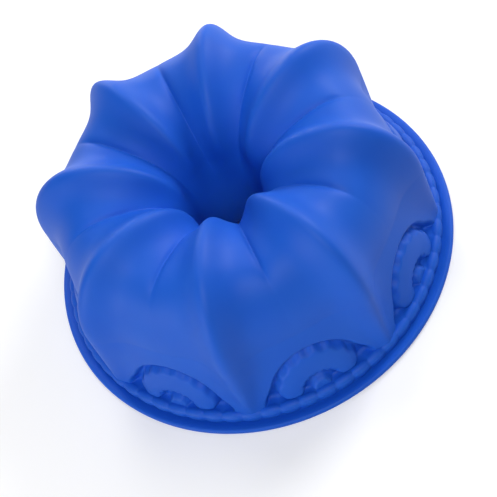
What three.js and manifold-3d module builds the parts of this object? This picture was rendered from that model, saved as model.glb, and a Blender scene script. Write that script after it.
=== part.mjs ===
// Fluted ring cake mould in silicone rubber, standing on its rim with the crown up.
// Millimetres, +Z up. The origin is the centre of the rim's underside.
import * as THREE from 'three';
import Module from 'manifold-3d';

// Rim flange
const RIM_RADIUS = 115;
const RIM_WIDTH = 7;
const RIM_THICKNESS = 3.5;

// Beaded border between the flange and the petals
const BORDER_HEIGHT = 6;
const BEADS_PER_PETAL = 8;
const BEAD_PROUD = 3;
const BEAD_GAP = 1.5;
const BAND_SETBACK = 1;

// Petals: the ridges' crest line, and the flutes sunk between the ridges
const PETALS = 8;
const WALL = 2.5;
const SHOULDER_SETBACK = 8.5;
const SHOULDER_HEIGHT = 51;
const CROWN_RADIUS = 68;
const CROWN_HEIGHT = 101;
const THROAT_RADIUS = 22;
const THROAT_HEIGHT = 59;
const FLUTE_DEPTH = 13.5;
const FLUTE_FOOT_DEPTH = 3;
const RIDGE_WIDTH = 12.5;
const RIDGE_FOOT_WIDTH = 6;
const RIDGE_FALLOFF = 1.3;
const PETAL_BULGE = 1;
const BULGE_START = 0.3;

// Niche at the foot of each petal, with a garland hung over a small shell
const NICHE_HALF_WIDTH = 34;
const NICHE_HEIGHT = 32;
const NICHE_DEPTH = 1.2;
const GARLAND_HALF_WIDTH = 18;
const GARLAND_RISE = 19;
const GARLAND_START = 18;
const GARLAND_THICK = 19;
const GARLAND_THIN = 17;
const GARLAND_TIP = 0.5;
const GARLAND_PROUD = 1.2;
const SHELL_HALF_WIDTH = 7;
const SHELL_HEIGHT = 7;
const SHELL_PROUD = 0.8;
const RELIEF_ROOT = 0.5;

// Centre tube below the flutes, open at its lower end
const TUBE_TOP = 40;
const TUBE_TOP_RADIUS = 20;
const TUBE_END = 4;
const TUBE_END_RADIUS = 17;

// Facets
const PETAL_COLUMNS = 10;
const PETAL_ROWS = 18;
const NICHE_COLUMNS = 10;
const NICHE_ROWS = 1;
const GARLAND_COLUMNS = 9;
const GARLAND_ROWS = 4;
const SHELL_COLUMNS = 4;
const SHELL_ROWS = 3;
const BEAD_COLUMNS = 3;
const BEAD_ROWS = 3;
const RING_SEGMENTS = 64;
const EDGE_SEGMENTS = 3;

// Places worked out from the sizes above
const TURN = 2 * Math.PI;
const BORDER_TOP = RIM_THICKNESS + BORDER_HEIGHT;
const FOOT_RADIUS = RIM_RADIUS - RIM_WIDTH;
const BAND_RADIUS = FOOT_RADIUS - BAND_SETBACK;
const MOUTH_RADIUS = FOOT_RADIUS - WALL;
const SHOULDER_RADIUS = RIM_RADIUS - SHOULDER_SETBACK;
const HALF_PETAL = FOOT_RADIUS * TURN / PETALS / 2;
const NICHE_ROOT = NICHE_DEPTH + RELIEF_ROOT;

const wasm = await Module();
wasm.setup();

const silicone = new THREE.MeshStandardMaterial({ color: 0x325fc6, roughness: 0.5, metalness: 0 });

function piece(name, geometry) {
  const mesh = new THREE.Mesh(geometry, silicone);
  mesh.name = name;
  return mesh;
}

function solid(positions, index) {
  const geometry = new THREE.BufferGeometry();
  geometry.setAttribute('position', new THREE.Float32BufferAttribute(positions, 3));
  geometry.setIndex(index);
  return geometry;
}

// Body that can be cut and joined, from a closed geometry whose faces share their corners.
function body(geometry) {
  return new wasm.Manifold(new wasm.Mesh({
    numProp: 3,
    vertProperties: geometry.getAttribute('position').array,
    triVerts: Uint32Array.from(geometry.getIndex().array),
  }));
}

function geometryOf(whole) {
  const mesh = whole.getMesh();
  return solid(mesh.vertProperties, Array.from(mesh.triVerts));
}

// Closed slab between two skins. A skin gives the point at a place across and along it, each 0 to 1.
function slab(outer, inner, columns, rows) {
  const positions = [];
  for (const skin of [outer, inner]) {
    for (let row = 0; row <= rows; row += 1) {
      for (let column = 0; column <= columns; column += 1) {
        positions.push(...skin(column / columns, row / rows).toArray());
      }
    }
  }
  const sheet = (columns + 1) * (rows + 1);
  const at = (layer, column, row) => layer * sheet + row * (columns + 1) + column;
  const index = [];
  const quad = (a, b, c, d) => index.push(a, b, c, a, c, d);
  for (let row = 0; row < rows; row += 1) {
    for (let column = 0; column < columns; column += 1) {
      const right = column + 1;
      const next = row + 1;
      quad(at(0, column, row), at(0, right, row), at(0, right, next), at(0, column, next));
      quad(at(1, column, row), at(1, column, next), at(1, right, next), at(1, right, row));
    }
    quad(at(0, 0, row), at(0, 0, row + 1), at(1, 0, row + 1), at(1, 0, row));
    quad(at(0, columns, row), at(1, columns, row), at(1, columns, row + 1), at(0, columns, row + 1));
  }
  for (let column = 0; column < columns; column += 1) {
    const right = column + 1;
    quad(at(0, column, 0), at(1, column, 0), at(1, right, 0), at(0, right, 0));
    quad(at(0, column, rows), at(0, right, rows), at(1, right, rows), at(1, column, rows));
  }
  return solid(positions, index);
}

// Ring about +Z whose section can change from column to column. A section is a closed outline in the
// (radius, height) plane, counter-clockwise, with the same number of points in every column.
function loftedRing(sectionAt, columns) {
  const positions = [];
  const index = [];
  const points = sectionAt(0).length;
  for (let column = 0; column < columns; column += 1) {
    const next = (column + 1) % columns;
    sectionAt(column).forEach((place, point) => {
      const following = (point + 1) % points;
      const near = column * points;
      const far = next * points;
      positions.push(...aroundAxis(TURN * column / columns, place).toArray());
      index.push(near + point, far + point, far + following);
      index.push(near + point, far + following, near + following);
    });
  }
  return solid(positions, index);
}

// Point at an angle about +Z, from a place in the (radius, height) plane.
function aroundAxis(angle, place) {
  return new THREE.Vector3(place.x * Math.cos(angle), place.x * Math.sin(angle), place.y);
}

// Crest line of a ridge in the (radius, height) plane, from the border over the crown into the tube.
function crestLine() {
  const line = new THREE.Path();
  const shoulderReach = SHOULDER_RADIUS - CROWN_RADIUS;
  const shoulderRise = CROWN_HEIGHT - SHOULDER_HEIGHT;
  const throatReach = CROWN_RADIUS - THROAT_RADIUS;
  const throatDrop = CROWN_HEIGHT - THROAT_HEIGHT;
  line.moveTo(FOOT_RADIUS, BORDER_TOP);
  line.lineTo(SHOULDER_RADIUS, SHOULDER_HEIGHT);
  line.absellipse(CROWN_RADIUS, SHOULDER_HEIGHT, shoulderReach, shoulderRise, 0, TURN / 4, false);
  line.absellipse(CROWN_RADIUS, THROAT_HEIGHT, throatReach, throatDrop, TURN / 4, TURN / 2, false);
  line.lineTo(TUBE_TOP_RADIUS, TUBE_TOP);
  return line;
}

// Share of the flutes' full depth at a place on the crest line: it grows up the wall and dies out
// down the throat.
function depthShare(place) {
  if (place.x > CROWN_RADIUS) {
    const grown = (place.y - BORDER_TOP) / (SHOULDER_HEIGHT - BORDER_TOP);
    return THREE.MathUtils.lerp(FLUTE_FOOT_DEPTH / FLUTE_DEPTH, 1, Math.min(grown, 1));
  }
  return THREE.MathUtils.smoothstep(place.y, TUBE_TOP, CROWN_HEIGHT);
}

// How far the surface has risen towards the crest: 0 at mid petal, 1 on the ridges at its sides.
// The ridges keep their width over the crown, and are narrower at the foot of the wall.
function ridgeShare(place, side) {
  const grown = THREE.MathUtils.smoothstep(place.y, BORDER_TOP, SHOULDER_HEIGHT);
  const up = place.x > CROWN_RADIUS ? grown : 1;
  const width = THREE.MathUtils.lerp(RIDGE_FOOT_WIDTH, RIDGE_WIDTH, up);
  const spread = width / (place.x * TURN / PETALS / 2);
  const fall = (gap) => (1 + (gap / spread) ** 2) ** -RIDGE_FALLOFF;
  return (fall(1 - Math.abs(side)) - fall(1)) / (1 - fall(1));
}

// Depth of the surface below the crest line. Side runs from -1 to 1 across a petal.
function fluteDepth(place, side) {
  const bulge = PETAL_BULGE * THREE.MathUtils.smoothstep(1 - Math.abs(side), BULGE_START, 1);
  return depthShare(place) * (FLUTE_DEPTH * (1 - ridgeShare(place, side)) - bulge);
}

// One petal, from the ridge on its right to the ridge on its left, with its wall, crown and throat.
function petal(number, crest) {
  const skin = (thickness) => (across, along) => {
    const side = Math.sin((across - 0.5) * Math.PI);
    const place = crest.getPoint(along);
    const tangent = crest.getTangent(along);
    if (along === 0 || along === 1) {
      tangent.set(0, along === 0 ? 1 : -1);
    }
    const sunk = thickness + fluteDepth(place, side);
    place.x -= sunk * tangent.y;
    place.y += sunk * tangent.x;
    return aroundAxis((number + side / 2) * TURN / PETALS, place);
  };
  const wall = slab(skin(0), skin(WALL), PETAL_COLUMNS, PETAL_ROWS);
  const forms = body(garland(number)).add(body(shell(number)));
  return geometryOf(body(wall).subtract(body(niche(number))).add(forms));
}

// Point on a petal's wall, from lengths across the petal and above the border, standing proud of it.
function onWall(number, across, above, proud) {
  const side = across / HALF_PETAL;
  const rise = above / (SHOULDER_HEIGHT - BORDER_TOP);
  const place = new THREE.Vector2(
    THREE.MathUtils.lerp(FOOT_RADIUS, SHOULDER_RADIUS, rise),
    BORDER_TOP + above,
  );
  place.x += proud - fluteDepth(place, side);
  return aroundAxis((number + side / 2) * TURN / PETALS, place);
}

// Share of a length, 0 to 1, with closer steps towards both ends.
function eased(share) {
  return (1 - Math.cos(share * TURN / 2)) / 2;
}

// Full height over the middle of a form, with round shoulders down to nothing at its edges.
function swelling(share) {
  return Math.sqrt(Math.max(0, Math.sin(share * TURN / 2)));
}

// Cut for the niche: a half-ellipse standing on the border, with an even floor.
function niche(number) {
  const skin = (proud) => (across, along) => {
    const x = NICHE_HALF_WIDTH * (2 * eased(across) - 1);
    const top = NICHE_HEIGHT * Math.sin(across * TURN / 2);
    return onWall(number, x, THREE.MathUtils.lerp(-RELIEF_ROOT, top, along), proud);
  };
  return slab(skin(NICHE_DEPTH), skin(-NICHE_DEPTH), NICHE_COLUMNS, NICHE_ROWS);
}

// Garland: a thick crescent with hanging ends, rooted in the floor of the niche.
function garland(number) {
  const start = THREE.MathUtils.degToRad(GARLAND_START);
  const skin = (proudAt) => (across, along) => {
    const angle = THREE.MathUtils.lerp(TURN / 2 - start, start, eased(across));
    const full = THREE.MathUtils.lerp(GARLAND_THIN, GARLAND_THICK, Math.sin(angle) ** 2);
    const outward = (eased(along) - 0.5) * full * Math.max(GARLAND_TIP, swelling(across));
    const x = (GARLAND_HALF_WIDTH + outward) * Math.cos(angle);
    const y = (GARLAND_RISE + outward) * Math.sin(angle);
    return onWall(number, x, y, proudAt(across, along));
  };
  const proud = (across, along) => (
    THREE.MathUtils.lerp(-NICHE_DEPTH, GARLAND_PROUD, swelling(across) * swelling(along))
  );
  return slab(skin(proud), skin(() => -NICHE_ROOT), GARLAND_COLUMNS, GARLAND_ROWS);
}

// Shell: a half-round boss on the border, under the garland.
function shell(number) {
  const skin = (proudAt) => (across, along) => {
    const x = SHELL_HALF_WIDTH * (2 * eased(across) - 1);
    const top = RELIEF_ROOT + SHELL_HEIGHT * Math.sin(across * TURN / 2);
    return onWall(number, x, THREE.MathUtils.lerp(0, top, along), proudAt(across, along));
  };
  const proud = (across, along) => (
    THREE.MathUtils.lerp(-NICHE_DEPTH, SHELL_PROUD, swelling(across) * Math.sqrt(1 - along))
  );
  return slab(skin(proud), skin(() => -NICHE_ROOT), SHELL_COLUMNS, SHELL_ROWS);
}

// Radius of the cavity's foot at an angle about +Z. It follows the flutes.
function cavityFoot(angle) {
  const petals = angle * PETALS / TURN;
  const foot = new THREE.Vector2(FOOT_RADIUS, BORDER_TOP);
  return FOOT_RADIUS - WALL - fluteDepth(foot, 2 * (petals - Math.round(petals)));
}

// Flat flange with a half-round edge, which the mould stands on.
function rimFlange() {
  const round = RIM_THICKNESS / 2;
  const outline = new THREE.Path();
  outline.moveTo(MOUTH_RADIUS, RIM_THICKNESS);
  outline.lineTo(MOUTH_RADIUS, 0);
  outline.lineTo(RIM_RADIUS - round, 0);
  outline.absarc(RIM_RADIUS - round, round, round, -TURN / 4, TURN / 4, false);
  const section = outline.getPoints(EDGE_SEGMENTS);
  return loftedRing(() => section, RING_SEGMENTS);
}

// Upright band with a row of long beads on its outer face, one of them at the middle of each petal.
function beadBorder() {
  const beads = PETALS * BEADS_PER_PETAL;
  const pitch = TURN * BAND_RADIUS / beads;
  const halfBead = (pitch - BEAD_GAP) / 2;
  const columns = beads * BEAD_COLUMNS;
  const halfPitch = TURN / beads / 2;
  const section = (column) => {
    const cavity = cavityFoot(TURN * column / columns + halfPitch);
    const fromMiddle = (column % BEAD_COLUMNS / BEAD_COLUMNS - 0.5) * pitch / halfBead;
    const outline = [
      new THREE.Vector2(cavity, BORDER_TOP),
      new THREE.Vector2(cavity, RIM_THICKNESS),
    ];
    for (let row = 0; row <= BEAD_ROWS; row += 1) {
      const fromCentreLine = 2 * row / BEAD_ROWS - 1;
      const swell = Math.sqrt(Math.max(0, 1 - fromMiddle ** 2 - fromCentreLine ** 2));
      const height = RIM_THICKNESS + BORDER_HEIGHT * row / BEAD_ROWS;
      outline.push(new THREE.Vector2(BAND_RADIUS + BEAD_PROUD * swell, height));
    }
    return outline;
  };
  return loftedRing(section, columns).rotateZ(halfPitch);
}

// Plain tapered tube that carries the throat down to just above the rim's plane.
function centreTube() {
  const section = [
    new THREE.Vector2(TUBE_TOP_RADIUS, TUBE_TOP),
    new THREE.Vector2(TUBE_END_RADIUS, TUBE_END),
    new THREE.Vector2(TUBE_END_RADIUS + WALL, TUBE_END),
    new THREE.Vector2(TUBE_TOP_RADIUS + WALL, TUBE_TOP),
  ];
  return loftedRing(() => section, RING_SEGMENTS);
}

const mould = new THREE.Group();
const crest = crestLine();
mould.add(piece('rim_flange', rimFlange()));
mould.add(piece('bead_border', beadBorder()));
for (let number = 0; number < PETALS; number += 1) {
  mould.add(piece(`petal_${number + 1}`, petal(number, crest)));
}
mould.add(piece('centre_tube', centreTube()));

export default mould;
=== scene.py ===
"""Fluted ring cake mould in blue silicone, standing on its rim with the crown up. Metres, +Z up."""

import math

import bpy
import numpy as np
from mathutils import Matrix, Vector


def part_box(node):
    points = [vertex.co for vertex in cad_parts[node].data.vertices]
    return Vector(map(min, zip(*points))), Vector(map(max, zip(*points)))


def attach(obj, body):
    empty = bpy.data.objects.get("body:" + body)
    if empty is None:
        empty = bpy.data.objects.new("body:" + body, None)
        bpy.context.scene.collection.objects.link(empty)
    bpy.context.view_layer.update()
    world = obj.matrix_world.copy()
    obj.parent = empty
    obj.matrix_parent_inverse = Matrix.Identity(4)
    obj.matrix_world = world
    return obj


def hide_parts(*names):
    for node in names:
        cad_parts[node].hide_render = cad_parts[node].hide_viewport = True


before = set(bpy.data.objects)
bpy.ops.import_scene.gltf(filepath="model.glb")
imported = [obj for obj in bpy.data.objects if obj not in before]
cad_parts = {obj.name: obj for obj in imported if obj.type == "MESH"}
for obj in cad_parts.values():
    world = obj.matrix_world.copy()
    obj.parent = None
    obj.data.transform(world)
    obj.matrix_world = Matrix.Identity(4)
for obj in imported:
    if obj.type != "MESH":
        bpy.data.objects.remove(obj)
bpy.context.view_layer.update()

MM = 0.001
TURN = 2 * math.pi

# Sizes of the solids
NODES = sorted(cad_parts)
PETALS = sum(name.startswith("petal_") for name in NODES)
RIM_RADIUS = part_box("rim_flange")[1].x
RIM_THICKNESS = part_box("rim_flange")[1].z
BORDER_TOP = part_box("bead_border")[1].z
TUBE_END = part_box("centre_tube")[0].z
TUBE_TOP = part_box("centre_tube")[1].z

# Rim flange, whose top dips towards the beads
RIM_WIDTH = 7 * MM
DIP_DEPTH = 1.6 * MM
DIP_WIDTH = 3.2 * MM

# Beaded border: the tuck draws in the foot of a bead, by a share of its radius
BEADS_PER_PETAL = 8
BEAD_RADIUS = 3.3 * MM
BEAD_NECK = 2.5 * MM
BEAD_ROUNDNESS = 0.75
BEAD_SETBACK = 1.8 * MM
BEAD_TUCK = 0.4
CHANNEL_DEPTH = 0.8 * MM
CHANNEL_LEAST_WIDTH = 0.06 * MM

# Petals: the ridges' crest line, and the flutes sunk between the ridges
WALL = 2.5 * MM
SHOULDER_SETBACK = 8.5 * MM
SHOULDER_HEIGHT = 51 * MM
CROWN_RADIUS = 68 * MM
CROWN_HEIGHT = 101 * MM
THROAT_RADIUS = 22 * MM
THROAT_HEIGHT = 59 * MM
FLUTE_DEPTH = 13.5 * MM
FLUTE_FOOT_DEPTH = 3 * MM
RIDGE_WIDTH = 12.5 * MM
RIDGE_FOOT_WIDTH = 6 * MM
RIDGE_FALLOFF = 1.3
PETAL_BULGE = 1 * MM
BULGE_START = 0.3

# Fold down the middle of each flute, on the crown: its width and bluntness are shares of half a petal
FOLD_DEPTH = 1.6 * MM
FOLD_WIDTH = 0.06
FOLD_BLUNTNESS = 0.015
FOLD_INNER = 40 * MM
FOLD_OUTER = 84 * MM
FOLD_FADE = 12 * MM
FOLD_TOP = 81 * MM

# Niche at the foot of each petal, with a pocket on each side
NICHE_HALF_WIDTH = 28.5 * MM
NICHE_HEIGHT = 29.5 * MM
NICHE_DEPTH = 4.5 * MM
NICHE_EDGE = 1.5 * MM
NICHE_FLARE = 4 * MM
NICHE_FLARE_HEIGHT = 14 * MM
POCKET_DEPTH = 2 * MM

# Garland hung over a small shell in the niche: lobes, crown, ribs and flank are shares of each form's size
GARLAND_HALF_WIDTH = 18 * MM
GARLAND_RISE = 17.5 * MM
GARLAND_START = math.radians(18)
GARLAND_THICK = 21 * MM
GARLAND_THIN = 19 * MM
GARLAND_PROUD = 5 * MM
GARLAND_HEM = 0.6 * MM
GARLAND_LOBES = 9
GARLAND_LOBE_DEPTH = 0.16
GARLAND_CROWN = 0.25
SHELL_HALF_WIDTH = 7 * MM
SHELL_HEIGHT = 6 * MM
SHELL_PROUD = 4 * MM
SHELL_RIBS = 3
SHELL_RIB_DEPTH = 0.1
RELIEF_FLANK = 0.35

# Centre tube
TUBE_TOP_RADIUS = 20 * MM
TUBE_END_RADIUS = 17 * MM

# Mesh rows and columns: the cavity has one row for every few rows of the outside
COLUMNS_PER_PETAL = 96
WALL_ROWS = 64
SHOULDER_ROWS = 64
THROAT_ROWS = 52
NECK_ROWS = 12
CAVITY_STEP = 2
TUBE_ROWS = 14
LIP_ROWS = 6
EDGE_ROWS = 10
FLANGE_ROWS = 10
BEAD_ROWS = 14
CHANNEL_ROWS = 3
MOUTH_ROWS = 10

# Places worked out from the sizes above
FOOT_RADIUS = RIM_RADIUS - RIM_WIDTH
BEAD_RING = FOOT_RADIUS - BEAD_SETBACK
BEAD_LEVEL = BORDER_TOP - BEAD_RADIUS
MOUTH_RADIUS = FOOT_RADIUS - WALL
SHOULDER_RADIUS = RIM_RADIUS - SHOULDER_SETBACK
HALF_PETAL = FOOT_RADIUS * TURN / PETALS / 2

# Blue silicone: the clouds run from the first colour and roughness to the second
SILICONE_BLUES = ((0.006, 0.094, 0.570, 1), (0.009, 0.107, 0.605, 1))
SILICONE_ROUGHNESS = (0.5, 0.6)
SILICONE_IOR = 1.42
SILICONE_SPECULAR = 0.33
SUBSURFACE_WEIGHT = 0.12
SUBSURFACE_RADIUS = (0.2, 0.4, 1.0)
SUBSURFACE_SCALE = 3 * MM
CLOUD_SCALE = 28
CLOUD_DETAIL = 4
CLOUD_SPAN = (0.3, 0.7)
GRAIN_SCALE = 1400
GRAIN_DETAIL = 3
GRAIN_STRENGTH = 0.08
GRAIN_DEPTH = 0.2 * MM

# Floor: it is lifted a little towards white beside the mould, and is all white at its end
WHITE = (1, 1, 1, 1)
BLACK = (0, 0, 0, 1)
FLOOR_COLOUR = (0.8, 0.8, 0.8, 1)
FLOOR_REACH = 4
FLOOR_GAP = 0.05 * MM
FLOOR_LIFT = 0.3
FLOOR_END = 1

# Studio light: the surroundings' level, and each lamp's name, place and power in watts
SURROUNDINGS_LEVEL = 0.02
LAMP_SIZE = 0.6
LAMPS = (
    ("key_light", (0.95, 0.55, 0.69), 9.8),
    ("back_light", (0, 1.27, 0.27), 3.8),
    ("high_light", (0, 0.69, 1.10), 4.6),
    ("fill_light", (-1.10, -0.64, 0.27), 6.4),
    ("front_light", (0, -0.69, 1.10), 7.6),
)

# View of the photograph: the sensor is in millimetres, and the origin is seen at its pixel
IMAGE_SIZE = 497
SENSOR = 36
FOCAL_PIXELS = 1388
ORIGIN_PIXEL = (253.15, 247.32)
CAMERA_DISTANCE = 0.7937
CAMERA_ELEVATION = math.radians(55.63)
CAMERA_AZIMUTH = math.radians(1.14)
CAMERA_ROLL = math.radians(28.67)


def smooth(value, low, high):
    """0 below low, 1 above high, with a smooth change between them."""
    share = np.clip((value - low) / (high - low), 0, 1)
    return share * share * (3 - 2 * share)


def straight(start, end, rows):
    """Stations on a line: each has its radius, its height and the tangent's two parts."""
    start = np.array(start)
    end = np.array(end)
    share = np.linspace(0, 1, rows, endpoint=False)[:, None]
    place = start + (end - start) * share
    tangent = np.tile((end - start) / np.linalg.norm(end - start), (rows, 1))
    return np.hstack([place, tangent])


def arc(centre, reach, rise, start, sweep, rows):
    """Stations on an arc of an ellipse, counter-clockwise from the start angle."""
    angle = start + np.linspace(0, sweep, rows, endpoint=False)
    place = np.stack([centre[0] + reach * np.cos(angle), centre[1] + rise * np.sin(angle)], 1)
    tangent = np.stack([-reach * np.sin(angle), rise * np.cos(angle)], 1)
    tangent /= np.linalg.norm(tangent, axis=1, keepdims=True)
    return np.hstack([place, tangent])


def crest_line():
    """Crest of a ridge, from the border over the crown into the tube."""
    foot = (FOOT_RADIUS, BORDER_TOP)
    shoulder = (SHOULDER_RADIUS, SHOULDER_HEIGHT)
    shoulder_centre = (CROWN_RADIUS, SHOULDER_HEIGHT)
    shoulder_reach = SHOULDER_RADIUS - CROWN_RADIUS
    shoulder_rise = CROWN_HEIGHT - SHOULDER_HEIGHT
    throat = (THROAT_RADIUS, THROAT_HEIGHT)
    throat_centre = (CROWN_RADIUS, THROAT_HEIGHT)
    throat_reach = CROWN_RADIUS - THROAT_RADIUS
    throat_rise = CROWN_HEIGHT - THROAT_HEIGHT
    tube = (TUBE_TOP_RADIUS, TUBE_TOP)
    return np.vstack([
        straight(foot, shoulder, WALL_ROWS),
        arc(shoulder_centre, shoulder_reach, shoulder_rise, 0, TURN / 4, SHOULDER_ROWS),
        arc(throat_centre, throat_reach, throat_rise, TURN / 4, TURN / 4, THROAT_ROWS),
        straight(throat, tube, NECK_ROWS),
    ])


def ridge_share(radius, height, side):
    """How far the surface has risen towards the crest: 0 at mid petal, 1 on the ridges."""
    on_wall = radius > CROWN_RADIUS
    foot = np.where(on_wall, 1 - smooth(height, BORDER_TOP, SHOULDER_HEIGHT), 0)
    width = RIDGE_WIDTH + (RIDGE_FOOT_WIDTH - RIDGE_WIDTH) * foot
    half_petal = radius * TURN / PETALS / 2
    spread = (width / half_petal)[:, None]
    gap = 1 - np.abs(side)
    lowest = (1 + 1 / spread**2) ** -RIDGE_FALLOFF
    return ((1 + (gap / spread) ** 2) ** -RIDGE_FALLOFF - lowest) / (1 - lowest)


def flutes(radius, height, side):
    """How far the surface lies below the crest line, for each row and column."""
    grown = np.clip((height - BORDER_TOP) / (SHOULDER_HEIGHT - BORDER_TOP), 0, 1)
    wall_share = FLUTE_FOOT_DEPTH / FLUTE_DEPTH * (1 - grown) + grown
    throat_share = smooth(height, TUBE_TOP, CROWN_HEIGHT)
    depth_share = np.where(radius > CROWN_RADIUS, wall_share, throat_share)[:, None]
    bulge = PETAL_BULGE * smooth(1 - np.abs(side), BULGE_START, 1)
    return depth_share * (FLUTE_DEPTH * (1 - ridge_share(radius, height, side)) - bulge)


def folds(radius, height, side):
    """Depth of the fold down the middle of each flute on the crown."""
    high = smooth(height, SHOULDER_HEIGHT, FOLD_TOP)
    inner = smooth(radius, FOLD_INNER - FOLD_FADE, FOLD_INNER + FOLD_FADE)
    outer = smooth(radius, FOLD_OUTER - FOLD_FADE, FOLD_OUTER + FOLD_FADE)
    along = high * inner * (1 - outer)
    away = np.hypot(side, FOLD_BLUNTNESS) - FOLD_BLUNTNESS
    return FOLD_DEPTH * along[:, None] * np.exp(-away / FOLD_WIDTH)


def mound(distance, reach):
    """Rounded form: 1 over its middle, falling smoothly to 0 at its reach."""
    return 1 - smooth(distance / reach, 1 - RELIEF_FLANK, 1)


def garland(across, above):
    """Height of the hanging garland over the floor of its niche."""
    angle = np.arctan2(above / GARLAND_RISE, across / GARLAND_HALF_WIDTH)
    angle = np.clip(angle, GARLAND_START, TURN / 2 - GARLAND_START)
    middle_across = GARLAND_HALF_WIDTH * np.cos(angle)
    middle_above = GARLAND_RISE * np.sin(angle)
    distance = np.hypot(across - middle_across, above - middle_above)
    reach = (GARLAND_THIN + (GARLAND_THICK - GARLAND_THIN) * np.sin(angle) ** 2) / 2
    lobes = 1 - GARLAND_LOBE_DEPTH * np.sin(GARLAND_LOBES * angle) ** 2
    hem = smooth(above, 0, GARLAND_HEM)
    crown = 1 - GARLAND_CROWN * (distance / reach) ** 2
    return GARLAND_PROUD * hem * crown * mound(distance, reach * lobes)


def shell(across, above):
    """Height of the ribbed shell below the garland."""
    angle = np.arctan2(above / SHELL_HEIGHT, across / SHELL_HALF_WIDTH)
    distance = np.hypot(across / SHELL_HALF_WIDTH, above / SHELL_HEIGHT)
    ribs = 1 - SHELL_RIB_DEPTH * np.abs(np.sin(SHELL_RIBS * angle)) * np.minimum(distance, 1)
    return SHELL_PROUD * mound(distance, ribs)


def relief(radius, height, side):
    """How far the ornament at the foot of each petal stands out of the wall."""
    across, above = np.meshgrid(side * HALF_PETAL, height - BORDER_TOP)
    low = 1 - smooth(above, 0, NICHE_FLARE_HEIGHT)
    narrowed = np.maximum(np.abs(across) - NICHE_FLARE * low, 0)
    edge = np.hypot(narrowed / NICHE_HALF_WIDTH, above / NICHE_HEIGHT)
    fade = NICHE_EDGE / NICHE_HEIGHT
    inside = 1 - smooth(edge, 1 - fade, 1 + fade)
    pocket = POCKET_DEPTH * low * smooth(np.abs(across), GARLAND_HALF_WIDTH, NICHE_HALF_WIDTH)
    forms = np.maximum(garland(across, above), shell(across, above))
    on_wall = (radius > CROWN_RADIUS) & (height < SHOULDER_HEIGHT)
    return np.where(on_wall[:, None], inside * (forms - NICHE_DEPTH - pocket), 0)


def petal_skin(crest, side, inset):
    """Radius and height of one face of the petals, an inset below the crest line."""
    radius, height, tangent_out, tangent_up = crest.T
    drop = inset + flutes(radius, height, side) + folds(radius, height, side)
    drop -= relief(radius, height, side)
    normal_out = tangent_up.copy()
    normal_up = -tangent_out
    # The lowest row is drawn in level, along the border's top
    normal_out[0] = 1
    normal_up[0] = 0
    return radius[:, None] - drop * normal_out[:, None], height[:, None] - drop * normal_up[:, None]


def turned(outline, columns):
    """Radius and height of a plain outline, the same in every column."""
    return np.tile(outline[:, :1], columns), np.tile(outline[:, 1:], columns)


def tube_outline():
    """Throat side of the tube, its round lower lip, and the side in the cavity."""
    lip = WALL / 2
    lip_level = TUBE_END + lip
    lip_centre = (TUBE_END_RADIUS + lip, lip_level)
    cavity_top = (TUBE_TOP_RADIUS + WALL, TUBE_TOP)
    stations = np.vstack([
        straight((TUBE_TOP_RADIUS, TUBE_TOP), (TUBE_END_RADIUS, lip_level), TUBE_ROWS),
        arc(lip_centre, lip, lip, TURN / 2, TURN / 2, LIP_ROWS),
        straight((TUBE_END_RADIUS + WALL, lip_level), cavity_top, TUBE_ROWS),
    ])
    return np.vstack([stations[:, :2], cavity_top])


def flange_outline():
    """Underside, half-round edge and top of the rim flange, from the mouth outwards and back."""
    edge = RIM_THICKNESS / 2
    edge_radius = RIM_RADIUS - edge
    bead_foot = BEAD_RING + BEAD_NECK * (1 - BEAD_TUCK)
    outline = np.vstack([
        straight((MOUTH_RADIUS, 0), (edge_radius, 0), FLANGE_ROWS),
        arc((edge_radius, edge), edge, edge, -TURN / 4, TURN / 2, EDGE_ROWS),
        straight((edge_radius, RIM_THICKNESS), (bead_foot, RIM_THICKNESS), FLANGE_ROWS),
    ])[:, :2]
    top = outline[-FLANGE_ROWS:]
    top[:, 1] -= DIP_DEPTH * np.exp(-((top[:, 0] - bead_foot) / DIP_WIDTH) ** 2)
    return outline


def mouth_skin(cavity_foot):
    """Radius and height of the cavity's lowest face, which widens to the round mouth in the flange."""
    height = np.linspace(BORDER_TOP, 0, MOUTH_ROWS, endpoint=False)[1:, None]
    widened = 1 - smooth(height, 0, RIM_THICKNESS)
    radius = cavity_foot + (MOUTH_RADIUS - cavity_foot) * widened
    return radius, np.tile(height, len(cavity_foot))


def bead_radius(side):
    """Radius of the string of beads at each column: full at a bead's middle, least between two."""
    place = side / 2 * BEADS_PER_PETAL
    off_middle = 2 * (place - np.round(place))
    return BEAD_NECK + (BEAD_RADIUS - BEAD_NECK) * (1 - off_middle**2) ** BEAD_ROUNDNESS


def border_skin(side, wall_foot):
    """Radius and height of the beads, from the flange over them into the channel behind them."""
    bead = bead_radius(side)
    bead_foot = RIM_THICKNESS - DIP_DEPTH
    channel_rise = BORDER_TOP - CHANNEL_DEPTH - BEAD_LEVEL
    reach = np.sqrt(np.maximum(bead**2 - channel_rise**2, 0))
    inner_edge = np.maximum(wall_foot + CHANNEL_LEAST_WIDTH, BEAD_RING - reach)
    last = np.arccos(np.clip((inner_edge - BEAD_RING) / bead, -1, 1))
    share = np.linspace(0, 1, BEAD_ROWS, endpoint=False)[:, None]
    low = (share - 1) * TURN / 4
    low_radius = BEAD_RING + bead * (1 - BEAD_TUCK + BEAD_TUCK * np.cos(low))
    low_height = np.tile(BEAD_LEVEL + (BEAD_LEVEL - bead_foot) * np.sin(low), len(side))
    high_radius = BEAD_RING + bead * np.cos(share * last)
    high_height = BEAD_LEVEL + bead * np.sin(share * last)
    inward = np.linspace(0, 1, CHANNEL_ROWS)[:, None]
    floor_radius = inner_edge + (wall_foot - inner_edge) * inward
    floor_height = np.tile(BEAD_LEVEL + bead * np.sin(last), (CHANNEL_ROWS, 1))
    return (
        np.vstack([low_radius, high_radius, floor_radius]),
        np.vstack([low_height, high_height, floor_height]),
    )


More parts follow.
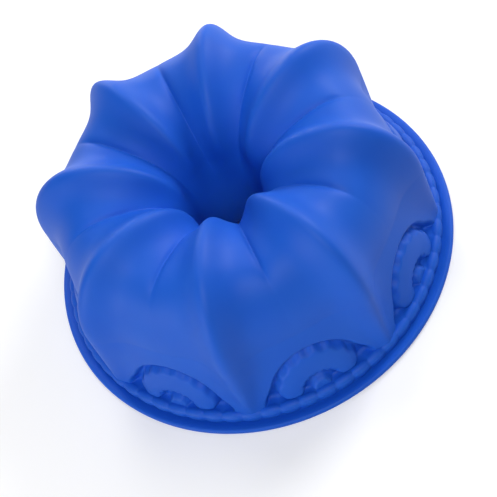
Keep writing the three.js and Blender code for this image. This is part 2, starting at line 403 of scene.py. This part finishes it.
def mould_section(side):
    """Closed outline of the whole moulding, for each column: outside first, then the cavity."""
    columns = len(side)
    crest = crest_line()
    outer = petal_skin(crest, side, 0)
    inner = petal_skin(crest[::CAVITY_STEP], side, WALL)
    zones = [
        outer,
        turned(tube_outline(), columns),
        (inner[0][::-1], inner[1][::-1]),
        mouth_skin(inner[0][0]),
        turned(flange_outline(), columns),
        border_skin(side, outer[0][0]),
    ]
    return np.vstack([zone[0] for zone in zones]), np.vstack([zone[1] for zone in zones])


def looped_mesh(name, radius, height, angle):
    """Closed mesh: its rows close on themselves through the section, and its columns round the axis."""
    rows, columns = radius.shape
    points = np.stack([radius * np.cos(angle), radius * np.sin(angle), height], -1)
    row, column = np.meshgrid(np.arange(rows), np.arange(columns), indexing="ij")
    next_row = (row + 1) % rows
    next_column = (column + 1) % columns
    quads = np.stack([
        row * columns + column,
        row * columns + next_column,
        next_row * columns + next_column,
        next_row * columns + column,
    ], -1)
    mesh = bpy.data.meshes.new(name)
    mesh.from_pydata(points.reshape(-1, 3).tolist(), [], quads.reshape(-1, 4).tolist())
    mesh.shade_smooth()
    mesh.update()
    return mesh


def add_object(name, data):
    """New object in the scene."""
    made = bpy.data.objects.new(name, data)
    bpy.context.scene.collection.objects.link(made)
    return made


def silicone_material():
    """Satin blue silicone: faint clouds in its colour and gloss, and a fine matt grain."""
    material = bpy.data.materials.new("blue_silicone")
    material.use_nodes = True
    nodes = material.node_tree.nodes
    links = material.node_tree.links
    shader = nodes["Principled BSDF"]
    shader.inputs["IOR"].default_value = SILICONE_IOR
    shader.inputs["Specular IOR Level"].default_value = SILICONE_SPECULAR
    shader.inputs["Subsurface Weight"].default_value = SUBSURFACE_WEIGHT
    shader.inputs["Subsurface Radius"].default_value = SUBSURFACE_RADIUS
    shader.inputs["Subsurface Scale"].default_value = SUBSURFACE_SCALE
    coordinates = nodes.new("ShaderNodeTexCoord")
    clouds = nodes.new("ShaderNodeTexNoise")
    clouds.inputs["Scale"].default_value = CLOUD_SCALE
    clouds.inputs["Detail"].default_value = CLOUD_DETAIL
    colours = nodes.new("ShaderNodeValToRGB")
    for stop, position, blue in zip(colours.color_ramp.elements, CLOUD_SPAN, SILICONE_BLUES):
        stop.position = position
        stop.color = blue
    gloss = nodes.new("ShaderNodeMapRange")
    gloss.inputs["To Min"].default_value = SILICONE_ROUGHNESS[0]
    gloss.inputs["To Max"].default_value = SILICONE_ROUGHNESS[1]
    grain = nodes.new("ShaderNodeTexNoise")
    grain.inputs["Scale"].default_value = GRAIN_SCALE
    grain.inputs["Detail"].default_value = GRAIN_DETAIL
    bump = nodes.new("ShaderNodeBump")
    bump.inputs["Strength"].default_value = GRAIN_STRENGTH
    bump.inputs["Distance"].default_value = GRAIN_DEPTH
    links.new(coordinates.outputs["Object"], clouds.inputs["Vector"])
    links.new(coordinates.outputs["Object"], grain.inputs["Vector"])
    links.new(clouds.outputs["Fac"], colours.inputs["Fac"])
    links.new(clouds.outputs["Fac"], gloss.inputs["Value"])
    links.new(colours.outputs["Color"], shader.inputs["Base Color"])
    links.new(gloss.outputs["Result"], shader.inputs["Roughness"])
    links.new(grain.outputs["Fac"], bump.inputs["Height"])
    links.new(bump.outputs["Normal"], shader.inputs["Normal"])
    return material


def make_mould():
    """The whole moulding in one mesh, with mid petal on the X axis."""
    columns = COLUMNS_PER_PETAL * PETALS
    share = np.arange(columns) / columns
    # From -1 to 1 across each petal, with a ridge at both ends
    side = 2 * (share * PETALS - np.round(share * PETALS))
    radius, height = mould_section(side)
    mould = add_object("mould_body", looped_mesh("mould_body", radius, height, TURN * share))
    mould.data.materials.append(silicone_material())
    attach(mould, "root")
    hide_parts(*NODES)


def seen_as_background(nodes, links):
    """1 on the camera's own rays and on reflected ones, 0 on the rays that light the object."""
    path = nodes.new("ShaderNodeLightPath")
    either = nodes.new("ShaderNodeMath")
    either.operation = "MAXIMUM"
    links.new(path.outputs["Is Camera Ray"], either.inputs[0])
    links.new(path.outputs["Is Glossy Ray"], either.inputs[1])
    return either.outputs["Value"]


def floor_material():
    """Pale matt floor that the camera sees as white, with the object's shadow kept."""
    material = bpy.data.materials.new("pale_floor")
    material.use_nodes = True
    nodes = material.node_tree.nodes
    links = material.node_tree.links
    nodes.clear()
    output = nodes.new("ShaderNodeOutputMaterial")
    matt = nodes.new("ShaderNodeBsdfDiffuse")
    matt.inputs["Color"].default_value = FLOOR_COLOUR
    lift = nodes.new("ShaderNodeEmission")
    lift.inputs["Color"].default_value = WHITE
    place = nodes.new("ShaderNodeTexCoord")
    reach = nodes.new("ShaderNodeVectorMath")
    reach.operation = "LENGTH"
    clear = nodes.new("ShaderNodeValToRGB")
    under, end = clear.color_ramp.elements
    under.position = MOUTH_RADIUS
    under.color = BLACK
    end.position = FLOOR_END
    end.color = WHITE
    beside = clear.color_ramp.elements.new(RIM_RADIUS)
    beside.color = (FLOOR_LIFT, FLOOR_LIFT, FLOOR_LIFT, 1)
    level = nodes.new("ShaderNodeMath")
    level.operation = "MULTIPLY"
    both = nodes.new("ShaderNodeAddShader")
    links.new(place.outputs["Object"], reach.inputs[0])
    links.new(reach.outputs["Value"], clear.inputs["Fac"])
    links.new(seen_as_background(nodes, links), level.inputs[0])
    links.new(clear.outputs["Color"], level.inputs[1])
    links.new(level.outputs["Value"], lift.inputs["Strength"])
    links.new(matt.outputs["BSDF"], both.inputs[0])
    links.new(lift.outputs["Emission"], both.inputs[1])
    links.new(both.outputs["Shader"], output.inputs["Surface"])
    return material


def make_floor():
    """Square floor, a hair below the rim."""
    mesh = bpy.data.meshes.new("floor")
    corners = [(x * FLOOR_REACH, y * FLOOR_REACH, 0) for x, y in ((-1, -1), (1, -1), (1, 1), (-1, 1))]
    mesh.from_pydata(corners, [], [(0, 1, 2, 3)])
    mesh.materials.append(floor_material())
    floor = add_object("floor", mesh)
    floor.location.z = -FLOOR_GAP


def make_world():
    """Even studio surroundings, white where the camera sees them."""
    world = bpy.data.worlds.new("studio")
    bpy.context.scene.world = world
    world.use_nodes = True
    nodes = world.node_tree.nodes
    links = world.node_tree.links
    background = nodes["Background"]
    background.inputs["Color"].default_value = WHITE
    level = nodes.new("ShaderNodeMapRange")
    level.inputs["To Min"].default_value = SURROUNDINGS_LEVEL
    level.inputs["To Max"].default_value = 1
    links.new(seen_as_background(nodes, links), level.inputs["Value"])
    links.new(level.outputs["Result"], background.inputs["Strength"])


def make_lights():
    """Round soft lamps, each aimed at the middle of the rim."""
    for name, place, power in LAMPS:
        light = bpy.data.lights.new(name, "AREA")
        light.shape = "DISK"
        light.size = LAMP_SIZE
        light.energy = power
        lamp = add_object(name, light)
        lamp.location = place
        lamp.rotation_euler = (-Vector(place)).to_track_quat("-Z", "Y").to_euler()


def make_camera():
    """Camera of the photograph, rolled so that the mould's axis leans to the left."""
    data = bpy.data.cameras.new("camera")
    data.sensor_width = SENSOR
    data.lens = FOCAL_PIXELS * SENSOR / IMAGE_SIZE
    data.shift_x = (IMAGE_SIZE / 2 - ORIGIN_PIXEL[0]) / IMAGE_SIZE
    data.shift_y = (ORIGIN_PIXEL[1] - IMAGE_SIZE / 2) / IMAGE_SIZE
    camera = add_object("camera", data)
    turn = Matrix.Rotation(CAMERA_AZIMUTH, 3, "Z")
    back = turn @ Vector((0, -math.cos(CAMERA_ELEVATION), math.sin(CAMERA_ELEVATION)))
    across = turn @ Vector((1, 0, 0))
    upward = back.cross(across)
    right = across * math.cos(CAMERA_ROLL) - upward * math.sin(CAMERA_ROLL)
    up = across * math.sin(CAMERA_ROLL) + upward * math.cos(CAMERA_ROLL)
    place = Matrix((right, up, back)).transposed().to_4x4()
    place.translation = back * CAMERA_DISTANCE
    camera.matrix_world = place
    bpy.context.scene.camera = camera


make_mould()
make_floor()
make_world()
make_lights()
make_camera()
bpy.context.scene.view_settings.view_transform = "Standard"
